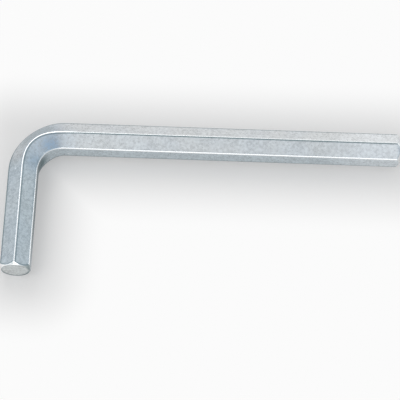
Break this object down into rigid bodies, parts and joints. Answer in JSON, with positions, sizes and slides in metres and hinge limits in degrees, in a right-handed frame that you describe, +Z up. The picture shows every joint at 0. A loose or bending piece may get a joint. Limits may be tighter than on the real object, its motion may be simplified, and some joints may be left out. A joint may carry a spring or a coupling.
{
  "type": "hex key",
  "caption": "L-shaped hexagonal steel key with rounded ridges and chamfered tips, for turning hexagon socket screws.",
  "frame": {"origin": "on the bench, under the middle of the key's outline as it lies flat", "axes": "+X along the long arm towards its tip, -Y along the short arm towards its tip, +Z up from the bench"},
  "size_m": [0.108, 0.044, 0.0091],
  "materials": {
    "plated_steel": "satin zinc or nickel plate with a fine pearly grain, brighter on the rounded ridges"
  },
  "bodies": {
    "root": {"hex_key": "plated_steel"}
  },
  "joints": []
}
